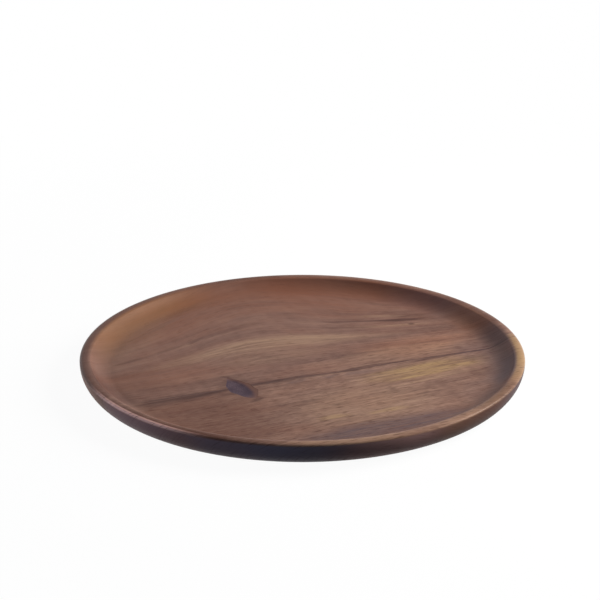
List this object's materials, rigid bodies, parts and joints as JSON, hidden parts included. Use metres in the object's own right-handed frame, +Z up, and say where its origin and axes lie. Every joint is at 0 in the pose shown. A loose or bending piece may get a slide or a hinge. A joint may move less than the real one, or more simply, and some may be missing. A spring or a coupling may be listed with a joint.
{
  "type": "wooden serving plate",
  "caption": "Round acacia serving plate with a flat floor, a coved wall and a narrow crowned rim, turned from edge-glued boards with a filled knot beside the joint.",
  "frame": {"origin": "centre of the flat base, on the surface that the plate stands on", "axes": "+Z up out of the well, +X along the grain and the glue line, +Y across the boards towards the wide one"},
  "size_m": [0.305, 0.305, 0.0187],
  "materials": {
    "acacia_wide": "satin oiled acacia, brown with an arched figure",
    "acacia_narrow": "satin oiled acacia, brown with a golden sapwood band",
    "glue": "cured wood glue, dark red-brown",
    "filler": "sanded and oiled resin filler, dark grey-violet"
  },
  "bodies": {
    "root": {"wide_board": "acacia_wide", "narrow_board": "acacia_narrow", "glue_line": "glue", "knot_filler": "filler"}
  },
  "joints": []
}
